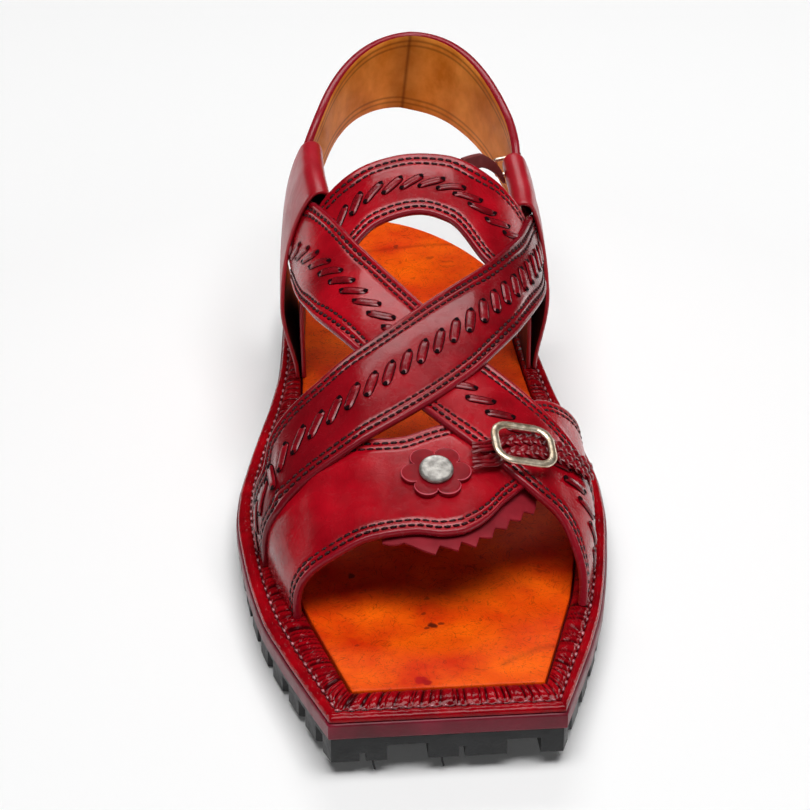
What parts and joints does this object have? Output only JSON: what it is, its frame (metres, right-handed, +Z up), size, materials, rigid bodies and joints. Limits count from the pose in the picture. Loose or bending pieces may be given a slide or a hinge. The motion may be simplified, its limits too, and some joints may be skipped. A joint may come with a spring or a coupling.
{
  "type": "leather sandal",
  "caption": "Open leather sandal with crossing laced straps, heel strap, squared toe, ruched welt and tyre-tread rubber sole; worn on the left foot.",
  "frame": {"origin": "on the floor under the middle of the sole's outline", "axes": "+X to the wearer's outer side, -Y toward the toe, +Y toward the heel, +Z up"},
  "size_m": [0.1112, 0.284, 0.0931],
  "materials": {
    "tyre_rubber": "matt worn tyre tread",
    "burgundy_leather": "dyed and burnished edge",
    "ruched_leather": "glossy, gathered in pleats",
    "orange_leather": "satin, mottled",
    "strap_leather": "polished, satin gloss",
    "dull_burgundy_leather": "dull, pinked edge",
    "dark_strap_leather": "dark, worn",
    "silver_metal": "antique silver, lightly scratched"
  },
  "bodies": {
    "root": {"outsole": "tyre_rubber", "midsole": "burgundy_leather", "welt": "ruched_leather", "insole": "orange_leather", "upper": "strap_leather", "pinked_underlay": "dull_burgundy_leather", "quarter_inner": "strap_leather", "quarter_outer": "strap_leather", "heel_strap": "strap_leather", "heel_strap_tail": "dark_strap_leather", "heel_buckle": "silver_metal", "flower": "strap_leather", "stud": "silver_metal", "braid": "strap_leather", "buckle": "silver_metal"}
  },
  "joints": []
}
